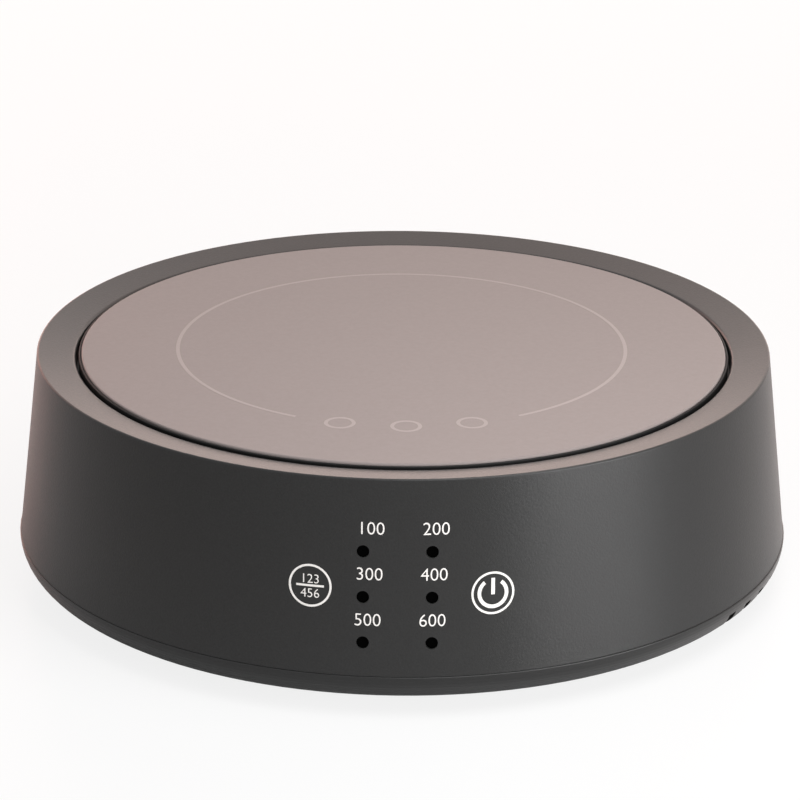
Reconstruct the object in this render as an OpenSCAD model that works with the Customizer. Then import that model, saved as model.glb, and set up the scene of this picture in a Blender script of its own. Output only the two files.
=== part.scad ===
// Round electric tea stove, drawn as the separate pieces that it comes apart into.
// A moulded housing carries a ceramic glass top, a ribbon heater, a power board, a touch panel and a fan.
// Millimetres, +Z up. The origin is on the table under the middle of the stove, and the front faces -Y.

/* [Housing] */
// Diameter of the housing at the seam, its widest place
body_d = 200; // [184:1:216]
// Inward lean of the wall between the seam and the rim
rim_inset = 5.75; // [4.5:0.25:7]
// Height of the rim above the table
rim_z = 59; // [56:0.5:66]
// Height of the seam where the shell meets the base
seam_z = 10.8; // [10.2:0.1:13]
// Open width of the seam
seam_gap = 0.1; // [0.05:0.05:0.4]
// Step of the base beyond the shell at the seam
seam_step = 0.25; // [0.1:0.05:0.5]
// Thickness of the moulded walls
wall_t = 2.4; // [2:0.1:2.8]
// Radius that breaks the outer edge of the rim
rim_edge_r = 0.5; // [0.3:0.1:1.2]
// Width of the ledge inside the rim
ledge_w = 10; // [8.5:0.1:11.5]
// Fall of the ledge from the rim to the glass
ledge_drop = 1.5; // [0.8:0.1:2]
// Radius that breaks the inner edge of the ledge
ledge_edge_r = 1.2; // [0.4:0.1:1.6]

/* [Glass] */
// Thickness of the glass top
glass_t = 4; // [3:0.5:5]
// Depth of the glass below the rim
glass_sink = 0.7; // [0.4:0.1:1.2]
// Open gap round the glass
glass_gap = 1.25; // [1:0.05:1.6]
// Width of the shelf that carries the glass
shelf_w = 8; // [7:0.5:10]
// Thickness of the seal under the glass
seal_t = 0.8; // [0.5:0.1:1.2]
// Thickness of the seal's lip round the glass
seal_lip_t = 0.6; // [0.4:0.05:0.7]

/* [Base] */
// Height of the base above the table
foot_h = 3.5; // [3:0.1:5]
// Diameter of a foot
foot_d = 14; // [12:0.5:18]
// Distance of the feet's middles in from the edge
foot_inset = 22; // [18:0.5:24]
// Depth of the seat that a foot lies in
foot_seat = 0.6; // [0.4:0.1:1]
// Height of the tongue that centres the shell
tongue_h = 2.5; // [2:0.1:3.2]
// Thickness of the tongue
tongue_t = 2; // [1.6:0.1:2.6]
// Width of an air slot in the lower edge
vent_w = 3.2; // [2.4:0.1:4]
// Height of the top of the air slots
vent_top = 8.4; // [7.6:0.1:9]
// Number of air slots
vent_count = 14; // [6:1:14]
// Angle between air slots
vent_pitch = 5; // [4.5:0.1:5]
// Angle from the right side to the middle of the row of air slots
vent_turn = -1.9; // [-4:0.1:4]
// Width of a slot in the fan grille
grille_slot = 3.2; // [2.4:0.1:3.4]
// Width of a rib in the fan grille
grille_rib = 2.6; // [2:0.1:2.8]

/* [Touch panel] */
// Height of the middle row of indicators
panel_z = 30.3; // [29:0.1:32]
// Distance between the two columns of indicators
led_pitch_x = 16.3; // [14:0.1:18]
// Distance between the rows of indicators
led_pitch_y = 11.2; // [9:0.1:11.6]
// Sideways place of the block of indicators
led_mid_x = -1.05; // [-2:0.05:2]
// Diameter of an indicator window
led_d = 3; // [2.5:0.1:4]
// Sideways distance of the touch keys from the middle
key_x = 21.6; // [20:0.1:23]
// Place of the selector key above the middle row
select_y = 1.9; // [-2:0.1:3]
// Place of the power key above the middle row
power_y = 0.4; // [-2:0.1:3]
// Depth of the control board behind the outer wall
board_depth = 9.5; // [9:0.1:11]
// Width of the control board
control_w = 62; // [58:1:66]
// Height of the control board
control_h = 29; // [28:0.5:31]

/* [Heater] */
// Clear space between the heating ribbon and the insulation ring
zone_gap = 5.6; // [3:0.1:8]
// Distance between turns of the heating ribbon
ribbon_pitch = 9; // [8:0.5:12]
// Height of the heating ribbon
ribbon_h = 6; // [4:0.5:6.5]
// Thickness of the heating ribbon
ribbon_t = 0.8; // [0.5:0.1:1]
// Share of the inside height that the insulation ring takes
ring_share = 0.33; // [0.31:0.01:0.35]
// Width of the insulation ring
ring_w = 9; // [7:0.5:11]
// Share of the inside height that the insulation disc takes
disc_share = 0.165; // [0.14:0.005:0.18]
// Thickness of the pan's sheet
pan_t = 0.6; // [0.4:0.1:0.8]
// Clear space between the pan and the shelf
pan_clear = 2; // [1.5:0.1:3]
// Diameter of the limiter's rod
rod_d = 5; // [4:0.5:5.5]
// Thickness of the heat shield
shield_t = 0.8; // [0.6:0.1:1.2]

/* [Fan and boards] */
// Share of the inside height that the fan takes
fan_share = 0.31; // [0.29:0.01:0.33]
// Number of fan blades
blade_count = 7; // [5:1:9]
// Diameter of the fan's shaft
shaft_d = 2; // [1.5:0.1:2.5]
// Length of the power board
power_board_l = 92; // [86:1:98]
// Thickness of the circuit boards
board_t = 1.6; // [1:0.1:2]
// Height of the posts under the power board
post_h = 3.2; // [2.6:0.1:3.6]

/* [Cord gland] */
// Height of the cord gland
gland_z = 25; // [24.5:0.5:30]
// Diameter of the gland's bore
gland_bore_d = 7; // [5:0.1:8]

/* [Hidden] */
$fn = 96;

// Clearances between pieces
slip = 0.3;
running = 0.04;
press = 0.01;
snug = 0.05;
over = 1;

// Least rise of one turn of a coil spring, in diameters of its wire
coil_pitch = 1.5;

// Housing
body_r = body_d / 2;
shell_r = body_r - seam_step;
rim_r = body_r - rim_inset;
wall_lean = atan((shell_r - rim_r) / (rim_z - seam_z));
function wall_r(z) = shell_r - (z - seam_z) * tan(wall_lean);
function wall_in_r(z) = wall_r(z) - wall_t / cos(wall_lean);
recess_r = rim_r - ledge_w;
glass_r = recess_r - glass_gap;
ledge_slope = atan(ledge_drop / ledge_w);
ledge_z = rim_z - ledge_drop;
shelf_r = glass_r - shelf_w;
glass_top_z = rim_z - glass_sink;
glass_under_z = glass_top_z - glass_t;
glass_edge = 0.5;
shelf_z = glass_under_z - seal_t;
shelf_under_z = shelf_z - wall_t;
seal_in_r = shelf_r + 1;
seal_drop = 0.4;
floor_z = foot_h + wall_t;
inside_h = glass_under_z - floor_z;
seam_edge_r = 0.25;
base_top_z = seam_z - seam_gap;
base_edge_r = base_top_z - seam_edge_r - foot_h;
tongue_r = wall_in_r(seam_z + tongue_h) - slip;

// Feet
foot_ring_r = body_r - foot_inset;
foot_angles = [235, 305, 125, 55];
foot_edge = 0.8;
foot_stem_d = 5;
foot_barb = 0.7;
foot_barb_h = 2.4;
foot_names = ["foot_front_left", "foot_front_right", "foot_rear_left", "foot_rear_right"];

// Screw columns, clamped through the heat shield
column_r = recess_r + 1;
column_angle = 30;
column_angles = [column_angle, 180 - column_angle, 180 + column_angle, 360 - column_angle];
column_x = column_r * cos(column_angle);
column_y = column_r * sin(column_angle);
column_d = 8;
rib_t = 1.8;
rib_drop = 3;
boss_d = 10.4;
screw_d = 3;
screw_head_d = 6;
screw_head_h = 2.2;
screw_bite = 10;
screw_room = 2;
screw_seat_z = foot_h + 3;

// Fan, as large as the screw columns leave room for
fan_room = 2.425;
fan_w = 2 * (column_y - boss_d / 2 - fan_room);
fan_gap = 3;
fan_offset = fan_w / 2 + fan_gap;
fan_t = fan_share * inside_h;
fan_top_z = floor_z + fan_t;
fan_hole_inset = 5;
fan_hole_pitch = fan_w - 2 * fan_hole_inset;
fan_corner = 3;
duct_wall = 2.2;
duct_d = fan_w - 3.2;
flange_t = 3;
hub_d = 28;
hub_wall = 1.2;
rotor_low_z = floor_z + 1.1;
motor_plate_t = 2;
motor_z = fan_top_z - motor_plate_t;
strut_w = 4;
strut_inset = 0.25;
cup_top_z = motor_z - 1.3;
blade_tip_r = duct_d / 2 - 1;
blade_end = 0.6;
blade_low_z = rotor_low_z + blade_end;
blade_h = cup_top_z - blade_low_z - blade_end;
blade_t = 1.2;
blade_in = 20;
blade_out = 50;
blade_arc_r = blade_h / (cos(blade_in) - cos(blade_out));
shaft_boss_d = shaft_d + 4;
magnet_t = 1.1;
stator_gap = 0.7;
bearing_d = 5.2;
bearing_tube_d = 6.8;
bearing_low_z = rotor_low_z + hub_wall + 1.4;
fan_screw_d = 3;
fan_screw_bite = 2.6;
grille_hub_r = 6;
grille_spoke_w = 4;
grille_step = grille_slot + grille_rib;
grille_rings = floor((duct_d / 2 - grille_hub_r + grille_rib) / grille_step);

// Heat shield above the fan
shield_clear = 2.6;
shield_z = fan_top_z + shield_clear;
shield_top_z = shield_z + shield_t;
ear_size = [15, 12];
ear_in = 10;
tab_angles = [90, 210, 315];
tab_w = 12;
tab_rise = 6;

// Air slots in the lower edge, spread about the right side
vent_in_r = body_r - base_edge_r - 1.5;

// Touch panel, in a frame on the outer wall with its Z along the wall's normal
panel_r = wall_r(panel_z);
control_inset = 3;
control_hole_x = control_w / 2 - control_inset;
control_hole_y = control_h / 2 - control_inset;
panel_boss_d = 6;
panel_screw_d = 2;
panel_screw_bite = 2.4;
panel_screw_head = [4, 1.4];
lens_peg_d = led_d - 2 * snug;
lens_recess = 0.9;
lens_margin = 4;
lens_plate_t = 1.2;
lens_plate_front = wall_t + 1;
led_body_d = 3;
led_flange_d = 3.8;
led_flange_t = 1;
key_spring_d = 6;
key_wire_d = 0.7;
chip_size = [7, 7, 1.6];
chip_at = [-16, -3];

// Heater, hung from the glass downwards
ring_h = ring_share * inside_h;
disc_t = disc_share * inside_h;
pan_r = shelf_r - pan_clear;
ring_r = pan_r - pan_t - slip;
ring_in_r = ring_r - ring_w;
zone_r = ring_in_r - zone_gap;
disc_top_z = glass_under_z - ring_h;
pan_floor_z = disc_top_z - disc_t;
pan_under_z = pan_floor_z - pan_t;
pan_top_z = glass_under_z - 5;
rod_lift = 0.8;
rod_z = disc_top_z + ribbon_h + rod_d / 2 + rod_lift;
rod_far = zone_r - 9.5;
ribbon_start_r = 16;
ribbon_wave = 12;
ribbon_swing = 1.6;
ribbon_end_r = zone_r - ribbon_swing - ribbon_t / 2;
shield_r = pan_r + 7;
spring_ring_r = pan_r - 28;
spring_angles = [30, 150, 270];
spring_d = 9;
spring_wire_d = 1;
spring_seat_h = 1.4;
spade_w = 3.2;
spade_t = 0.8;
spade_l = 6;
spade_r = pan_r + 9;
spade_low_z = pan_floor_z - 0.6;
block_depth = 12;
block_low_z = spade_low_z + spade_l;
head_w = 18;
head_h = shelf_under_z - 0.4 - block_low_z;
head_tab_y = 4.5;
terminal_angle = 20;
terminal_w = 14;
terminal_h = head_h - 5;
terminal_tab_y = 3.6;
function spade_point(a, y, z) = [spade_r * cos(a) - y * sin(a), spade_r * sin(a) + y * cos(a), z];

// Power board beside the fan, and the room above it
power_board_x = 4;
board_side_room = 4.6;
power_board_w = column_x - boss_d / 2 - board_side_room - power_board_x;
power_board_far_x = power_board_x + power_board_w;
board_low_z = floor_z + post_h;
board_top_z = board_low_z + board_t;
part_h = shield_z - board_top_z - 0.8;
low_part_h = part_h - 1;
post_d = 6;
post_inset = 4;
board_screw_d = 2.4;
board_screw_head = [4.6, 1.6];
board_screw_gap = 0.6;
sink_size = [42, 30];
sink_at = [13, -12];
sink_base_t = 2.5;
sink_land_w = 13;
fin_t = 1.4;
fin_gap = 2.6;
block_size = [13, 15];
bore_pitch = 7;
outlet_at = [power_board_far_x - 14, 11 - power_board_l / 2];
mains_at = [25, power_board_l / 2 - 8];
lead_bore_d = 3.4;
lead_d = 2.6;
lead_in = 5;
fan_socket_at = [power_board_x + 3.5, 7];
fan_plug = [3.2, 4.8, 6.5];
panel_socket_y = 4.5 - power_board_l / 2;
panel_plug = [11, 3.2, 8];
control_socket_y = 5.5 - control_h / 2;
control_plug = [9, 3.2, 6];

// Cord gland in a flat seat in the rear wall
gland_neck_d = gland_bore_d + 3;
gland_flange_d = gland_neck_d + 4;
gland_flange_t = 2;
gland_wall = 3;
gland_sink = 0.2;
gland_face_y = wall_r(gland_z + gland_flange_d / 2) - gland_flange_t - gland_sink;
gland_pad_d = gland_flange_d + 4;

// Leads, through points chosen by hand between their ends
lead_gap = 0.35;
lead_z = board_top_z + 4.5;
lead_end_x = outlet_at.x + block_size.x - lead_in + lead_gap;
live_y = outlet_at.y + (block_size.y - bore_pitch) / 2;
return_y = live_y + bore_pitch;
lead_top_z = spade_low_z - lead_gap;
function lead_drop(share) = lead_z + share * (lead_top_z - lead_z);
live_route = [
    spade_point(0, -head_tab_y, lead_top_z),
    spade_point(0, -head_tab_y, lead_drop(0.8)),
    [spade_r + 1.2, -6, lead_drop(0.445)],
    [spade_r - 2, -13, lead_drop(0.17)],
    [spade_r - 7, -24, lead_drop(0.06)],
    [lead_end_x + 10.6, live_y + 0.4, lead_z],
    [lead_end_x + 5.6, live_y, lead_z],
    [lead_end_x, live_y, lead_z]
];
return_route = [
    spade_point(terminal_angle, terminal_tab_y, lead_top_z),
    spade_point(terminal_angle, terminal_tab_y, lead_drop(0.76)),
    [spade_r - 2, 24, lead_drop(0.37)],
    [spade_r - 1, 6, lead_drop(0.11)],
    [spade_r - 4.5, -10, lead_drop(0.02)],
    [lead_end_x + 11.6, return_y + 2, lead_z],
    [lead_end_x + 5.6, return_y, lead_z],
    [lead_end_x, return_y, lead_z]
];
jumper_sag = 5;
jumper_steps = 18;
jumper_from = atan2(head_tab_y, spade_r);
jumper_to = terminal_angle - atan2(terminal_tab_y, spade_r);
jumper_route = [for (i = [0 : jumper_steps])
    let (t = 180 * i / jumper_steps, share = (1 - cos(t)) / 2)
    spade_point(jumper_from + share * (jumper_to - jumper_from), 0, lead_top_z - jumper_sag * sin(t))];
fan_lead_d = 1.8;
fan_lead_z = fan_top_z + fan_lead_d / 2 + lead_gap;
fan_plug_top_z = board_top_z + fan_plug.z;
fan_lead_route = [
    [-fan_offset + 8, 0, fan_lead_z],
    [-fan_gap - 15, 0, fan_lead_z],
    [-fan_gap - 4, 1, fan_lead_z],
    [fan_socket_at.x - 6.5, 3.6, fan_lead_z - 0.3],
    [fan_socket_at.x - 1.9, 6, fan_plug_top_z + 3.4],
    [fan_socket_at.x, fan_socket_at.y, fan_plug_top_z + 1.8],
    [fan_socket_at.x, fan_socket_at.y, fan_plug_top_z + lead_gap]
];
harness_w = 8;
harness_t = 1.2;
harness_x = 19;
harness_reach = 10;
harness_rise = 6;

// Colours
shell_grey = [0.20, 0.20, 0.20];
glass_grey = [0.42, 0.38, 0.36];
rubber_black = [0.06, 0.06, 0.06];
steel = [0.72, 0.73, 0.74];
fibre_white = [0.90, 0.89, 0.86];
ceramic_white = [0.93, 0.92, 0.88];
board_green = [0.10, 0.34, 0.20];
copper = [0.75, 0.45, 0.25];
plastic_black = [0.09, 0.09, 0.09];
case_yellow = [0.75, 0.65, 0.20];
sleeve_blue = [0.15, 0.18, 0.25];
sink_grey = [0.30, 0.31, 0.33];
ferrite_grey = [0.25, 0.24, 0.24];
braid_white = [0.85, 0.85, 0.80];
wire_red = [0.70, 0.12, 0.10];
cable_grey = [0.55, 0.55, 0.56];

// Points of an arc in a plane, from angle a to angle b in n steps
function arc(centre, r, a, b, n) =
    [for (i = [0 : n]) centre + r * [cos(a + (b - a) * i / n), sin(a + (b - a) * i / n)]];

function along(a) = [cos(a), sin(a)];

// Points of the arc that rounds a corner between two sides whose outward normals are at angles a and b
function fillet(corner, r, a, b, n) =
    arc(corner - r * (along(a) + along(b)) / (1 + cos(b - a)), r, a, b, n);

// A point between b and c on a smooth curve through a, b, c and d
function between(a, b, c, d, t) =
    (2 * b + (c - a) * t + (2 * a - 5 * b + 4 * c - d) * t ^ 2 + (3 * b - a - 3 * c + d) * t ^ 3) / 2;

// Points of a smooth curve through given points, with so many steps from each to the next
function smooth_route(p, steps = 4) =
    let (last = len(p) - 1)
    concat(
        [for (i = [0 : last - 1]) for (k = [0 : steps - 1])
            between(p[max(i - 1, 0)], p[i], p[i + 1], p[min(i + 2, last)], k / steps)],
        [p[last]]
    );

// Points of a helix up Z with as many turns as its height has room for and a flat quarter turn at each end
function helix(r, height, wire_d) =
    let (
        flat = 0.25,
        rise = height - wire_d,
        turns = max(1, floor(rise / (coil_pitch * wire_d))),
        steps = 12 * (turns + 2 * flat)
    )
    [for (i = [0 : steps])
        let (turn = i / 12, up = min(max((turn - flat) / turns, 0), 1))
        [r * cos(360 * turn), r * sin(360 * turn), wire_d / 2 + rise * up]];

function unit(v) = v / norm(v);

// Directions along a route, and a normal carried along it without twisting
function directions(p) =
    [for (i = [0 : len(p) - 1]) unit(p[min(i + 1, len(p) - 1)] - p[max(i - 1, 0)])];
function carried(t) =
    let (first = unit(cross(t[0], abs(t[0].z) < 0.9 ? [0, 0, 1] : [1, 0, 0])))
    [for (i = 0, n = first; i < len(t); i = i + 1, n = i < len(t) ? unit(n - (n * t[i]) * t[i]) : n) n];

// A round wire swept along a route
module tube(route, d, sides = 8) {
    t = directions(route);
    n = carried(t);
    last = len(route) - 1;
    points = [for (i = [0 : last]) for (k = [0 : sides - 1])
        route[i] + d / 2 * (cos(360 * k / sides) * n[i] + sin(360 * k / sides) * cross(t[i], n[i]))];
    walls = [for (i = [0 : last - 1]) for (k = [0 : sides - 1])
        let (a = i * sides + k, b = i * sides + (k + 1) % sides)
        each [[a, a + sides, b + sides], [a, b + sides, b]]];
    start_cap = [for (k = [1 : sides - 2]) [0, k, k + 1]];
    end_cap = [for (k = [1 : sides - 2]) [last * sides, last * sides + k + 1, last * sides + k]];
    polyhedron(points, concat(walls, start_cap, end_cap));
}

// A screw with its head below the origin, its shank up +Z and a cross recess
module screw(d, head_d, head_h, length) {
    slot_w = d * 0.28;
    slot_l = head_d * 0.6;
    slot_depth = head_h * 0.6;
    difference() {
        union() {
            translate([0, 0, -head_h]) cylinder(d = head_d, h = head_h);
            cylinder(d = d, h = length);
        }
        for (a = [0, 90]) rotate(a) translate([-slot_l / 2, -slot_w / 2, -head_h - over])
            cube([slot_l, slot_w, over + slot_depth]);
    }
}

module on_columns() {
    for (a = column_angles) rotate(a) translate([column_r, 0, 0]) children();
}

module at_panel() {
    translate([0, -panel_r, panel_z]) rotate([90 - wall_lean, 0, 0]) children();
}

module at_led(i) {
    column = i % 2;
    row = floor(i / 2);
    translate([led_mid_x + (column - 0.5) * led_pitch_x, (1 - row) * led_pitch_y, 0]) children();
}

module at_leds() {
    for (i = [0 : 5]) at_led(i) children();
}

module at_panel_holes() {
    for (x = [-1, 1], y = [-1, 1]) translate([x * control_hole_x, y * control_hole_y, 0]) children();
}

module at_fan() {
    translate([-fan_offset, 0, 0]) children();
}

module at_fan_holes() {
    for (x = [-1, 1], y = [-1, 1])
        translate([x * fan_hole_pitch / 2, y * fan_hole_pitch / 2, 0]) children();
}

module at_posts() {
    for (x = [power_board_x + post_inset, power_board_far_x - post_inset], y = [-1, 1])
        translate([x, y * (power_board_l / 2 - post_inset), 0]) children();
}

module at_gland() {
    translate([0, gland_face_y, gland_z]) rotate([-90, 0, 0]) children();
}

// Housing
module shell_outline() {
    recess_out_r = recess_r + wall_t;
    under = wall_t / cos(ledge_slope);
    ledge_under_z = ledge_z + wall_t * tan(ledge_slope) - under;
    rim_under_z = rim_z - wall_t * tan(ledge_slope) - under;
    polygon(concat(
        [[wall_r(seam_z), seam_z]],
        fillet([rim_r, rim_z], rim_edge_r, wall_lean, 90 + ledge_slope, 6),
        fillet([recess_r, ledge_z], ledge_edge_r, 90 + ledge_slope, 180, 8),
        [[recess_r, shelf_z], [shelf_r, shelf_z], [shelf_r, shelf_under_z], [recess_out_r, shelf_under_z]],
        [[recess_out_r, ledge_under_z], [wall_in_r(rim_under_z), rim_under_z], [wall_in_r(seam_z), seam_z]]
    ));
}

// The space inside the outer wall, to trim what stands on the wall
module wall_core() {
    inset = wall_t / 2;
    rotate_extrude() polygon([
        [0, seam_z],
        [wall_r(seam_z) - inset, seam_z],
        [wall_r(shelf_under_z) - inset, shelf_under_z],
        [wall_r(shelf_under_z) - inset, shelf_under_z + over],
        [0, shelf_under_z + over]
    ]);
}

module shell_columns() {
    column_top_z = shelf_under_z + wall_t / 4;
    on_columns() translate([0, 0, shield_top_z]) {
        cylinder(d = column_d, h = column_top_z - shield_top_z);
        translate([0, -rib_t / 2, 0])
            cube([body_r - column_r, rib_t, shelf_under_z - rib_drop - shield_top_z]);
    }
}

module panel_bosses() {
    at_panel() at_panel_holes() translate([0, 0, -board_depth]) cylinder(d = panel_boss_d, h = board_depth);
}

module gland_pad() {
    at_gland() translate([0, 0, -gland_wall]) cylinder(d = gland_pad_d, h = gland_wall + gland_flange_t);
}

module upper_shell() {
    bite_room = panel_screw_bite + board_t;
    color(shell_grey) difference() {
        union() {
            rotate_extrude() shell_outline();
            intersection() {
                wall_core();
                union() {
                    shell_columns();
                    panel_bosses();
                    gland_pad();
                }
            }
        }
        on_columns() translate([0, 0, shield_top_z - over])
            cylinder(d = screw_d + 2 * snug, h = over + screw_bite + screw_room);
        at_panel() at_leds() translate([0, 0, -lens_plate_front - screw_room])
            cylinder(d = led_d, h = lens_plate_front + 2 * screw_room);
        at_panel() at_panel_holes() translate([0, 0, -board_depth - over])
            cylinder(d = panel_screw_d + 2 * snug, h = over + bite_room);
        at_gland() {
            cylinder(d = gland_flange_d + 2 * slip, h = rim_inset + gland_flange_d);
            translate([0, 0, -gland_wall - over])
                cylinder(d = gland_neck_d + 2 * snug, h = gland_wall + 2 * over);
        }
    }
}

module base_outline() {
    centre = [body_r - base_edge_r, foot_h + base_edge_r];
    inner_r = base_edge_r - wall_t;
    tongue_in_r = tongue_r - tongue_t;
    bend = min(max((tongue_in_r - centre.x) / inner_r, 0.05), 1);
    polygon(concat(
        [[0, floor_z], [0, foot_h]],
        arc(centre, base_edge_r, -90, 0, 12),
        arc([body_r - seam_edge_r, base_top_z - seam_edge_r], seam_edge_r, 15, 90, 4),
        [[tongue_r, base_top_z], [tongue_r, seam_z + tongue_h], [tongue_in_r, seam_z + tongue_h]],
        arc(centre, inner_r, -acos(bend), -90, 4)
    ));
}

module fan_grille() {
    at_fan() difference() {
        for (i = [0 : grille_rings - 1]) {
            r = grille_hub_r + i * grille_step;
            translate([0, 0, foot_h - over]) difference() {
                cylinder(r = r + grille_slot, h = wall_t + 2 * over);
                translate([0, 0, -over]) cylinder(r = r, h = wall_t + 4 * over);
            }
        }
        for (a = [30, 90, 150]) rotate(a) translate([-fan_w / 2, -grille_spoke_w / 2, foot_h - 2 * over])
            cube([fan_w, grille_spoke_w, wall_t + 4 * over]);
    }
}

module air_slots() {
    for (i = [0 : vent_count - 1]) rotate(vent_turn + (i - (vent_count - 1) / 2) * vent_pitch)
        translate([vent_in_r, -vent_w / 2, foot_h - over]) cube([body_r, vent_w, vent_top - foot_h + over]);
}

module base_cover() {
    root_z = floor_z - wall_t / 2;
    color(shell_grey) difference() {
        union() {
            rotate_extrude() base_outline();
            on_columns() translate([0, 0, root_z]) cylinder(d = boss_d, h = shield_z - root_z);
            at_posts() translate([0, 0, root_z]) cylinder(d = post_d, h = board_low_z - root_z);
        }
        on_columns() {
            translate([0, 0, foot_h - over])
                cylinder(d = screw_head_d + 2 * slip, h = screw_seat_z - foot_h + over);
            translate([0, 0, foot_h]) cylinder(d = screw_d + 2 * slip, h = shield_z);
        }
        at_posts() translate([0, 0, floor_z]) cylinder(d = board_screw_d + 2 * snug, h = post_h + over);
        for (a = foot_angles) rotate(a) translate([foot_ring_r, 0, foot_h - over]) {
            cylinder(d = foot_d + slip, h = foot_seat + over);
            cylinder(d = foot_stem_d + slip, h = wall_t + 2 * over);
        }
        air_slots();
        fan_grille();
        at_fan() at_fan_holes() translate([0, 0, foot_h - over]) {
            cylinder(d = fan_screw_d + 2 * slip, h = wall_t + 2 * over);
            cylinder(d = screw_head_d + 2 * slip, h = wall_t / 2 + over);
        }
    }
}

module glass_top() {
    color(glass_grey) rotate_extrude() polygon(concat(
        [[0, glass_under_z], [glass_r - glass_edge, glass_under_z], [glass_r, glass_under_z + glass_edge]],
        arc([glass_r - glass_edge, glass_top_z - glass_edge], glass_edge, 0, 90, 4),
        [[0, glass_top_z]]
    ));
}

// A flat seal under the glass with a lip up round its edge
module glass_seal() {
    lip_in = glass_r + snug;
    lip_r = seal_lip_t / 2;
    color(rubber_black) rotate_extrude() polygon(concat(
        [[seal_in_r, shelf_z], [lip_in + seal_lip_t, shelf_z]],
        arc([lip_in + lip_r, glass_top_z - seal_drop - lip_r], lip_r, 0, 180, 6),
        [[lip_in, glass_under_z], [seal_in_r, glass_under_z]]
    ));
}

module foot(a) {
    r = foot_d / 2;
    stem_r = foot_stem_d / 2;
    top_z = foot_h + foot_seat;
    barb_z = floor_z + slip;
    stem_top_z = floor_z + foot_barb_h;
    color(rubber_black) rotate(a) translate([foot_ring_r, 0, 0]) rotate_extrude() polygon(concat(
        [[0, 0]],
        arc([r - foot_edge, foot_edge], foot_edge, -90, 0, 4),
        [[r, top_z], [stem_r, top_z], [stem_r, barb_z], [stem_r + foot_barb, barb_z]],
        [[stem_r - foot_barb, stem_top_z], [0, stem_top_z]]
    ));
}

module housing_screws() {
    color(steel) on_columns() translate([0, 0, screw_seat_z])
        screw(screw_d, screw_head_d, screw_head_h, shield_top_z + screw_bite - screw_seat_z);
}

module cord_gland() {
    rib = gland_wall + gland_flange_t;
    color(rubber_black) at_gland() difference() {
        union() {
            cylinder(d = gland_flange_d, h = gland_flange_t);
            translate([0, 0, -rib]) cylinder(d = gland_neck_d, h = rib + gland_flange_t / 2);
            translate([0, 0, -rib]) cylinder(d = gland_flange_d, h = gland_flange_t);
        }
        translate([0, 0, -rib - over]) cylinder(d = gland_bore_d, h = rib + gland_flange_t + 2 * over);
    }
}

// Heater
module rod_hole(d, length) {
    translate([0, 0, rod_z]) rotate([0, 90, 0]) cylinder(d = d, h = length);
}

module heater_pan() {
    color(steel) difference() {
        translate([0, 0, pan_under_z]) cylinder(r = pan_r, h = pan_top_z - pan_under_z);
        translate([0, 0, pan_floor_z]) cylinder(r = pan_r - pan_t, h = pan_top_z);
        rod_hole(rod_d + 2, pan_r + over);
    }
}

module insulation_disc() {
    color(fibre_white) translate([0, 0, pan_floor_z]) cylinder(r = ring_r, h = disc_t);
}

module insulation_ring() {
    color(fibre_white) difference() {
        translate([0, 0, disc_top_z]) cylinder(r = ring_r, h = ring_h);
        translate([0, 0, disc_top_z - over]) cylinder(r = ring_in_r, h = ring_h + 2 * over);
        rod_hole(rod_d + 1, pan_r);
    }
}

// The ribbon winds outwards at a steady pitch and swings from side to side at a steady wave along its length
function ribbon_angle(s) =
    (sqrt(ribbon_start_r ^ 2 + ribbon_pitch * s / PI) - ribbon_start_r) * 360 / ribbon_pitch;

module heating_ribbon() {
    length = PI * (ribbon_end_r ^ 2 - ribbon_start_r ^ 2) / ribbon_pitch;
    swing = [0, 1, 0, -1];
    steps = floor(length / ribbon_wave * 4);
    side = function (offset) [for (i = [0 : steps])
        let (a = ribbon_angle(i * ribbon_wave / 4),
             r = ribbon_start_r + ribbon_pitch * a / 360 + ribbon_swing * swing[i % 4] + offset)
        [r * cos(a), r * sin(a)]];
    inside = side(-ribbon_t / 2);
    color(steel) translate([0, 0, disc_top_z]) linear_extrude(ribbon_h)
        polygon(concat(side(ribbon_t / 2), [for (i = [steps : -1 : 0]) inside[i]]));
}

module limiter_rod() {
    color(ceramic_white) translate([-rod_far, 0, rod_z]) rotate([0, 90, 0])
        cylinder(d = rod_d, h = rod_far + pan_r + block_depth / 2);
}

// A ceramic block on the pan's side with two spade tabs below it
module side_block(width, height, tab_y) {
    root = 3;
    difference() {
        translate([pan_r - root, -width / 2, block_low_z]) cube([block_depth + root, width, height]);
        translate([0, 0, pan_under_z]) cylinder(r = pan_r + snug, h = rim_z);
    }
    for (y = [-tab_y, tab_y]) translate([spade_r - spade_t / 2, y - spade_w / 2, spade_low_z])
        cube([spade_t, spade_w, spade_l + over]);
}

module limiter_head() {
    color(ceramic_white) difference() {
        side_block(head_w, head_h, head_tab_y);
        rod_hole(rod_d + 2 * snug, pan_r + block_depth / 2 + snug);
    }
}

module heater_terminal() {
    color(ceramic_white) rotate(terminal_angle) side_block(terminal_w, terminal_h, terminal_tab_y);
}

// An upright tab bent from the shield, which keeps the pan in the middle
module shield_tab() {
    in_r = pan_r + slip;
    intersection() {
        difference() {
            cylinder(r = in_r + shield_t, h = pan_floor_z + tab_rise - shield_z);
            translate([0, 0, -over]) cylinder(r = in_r, h = rim_z);
        }
        translate([0, -tab_w / 2, 0]) cube([shield_r, tab_w, rim_z]);
    }
}

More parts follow.
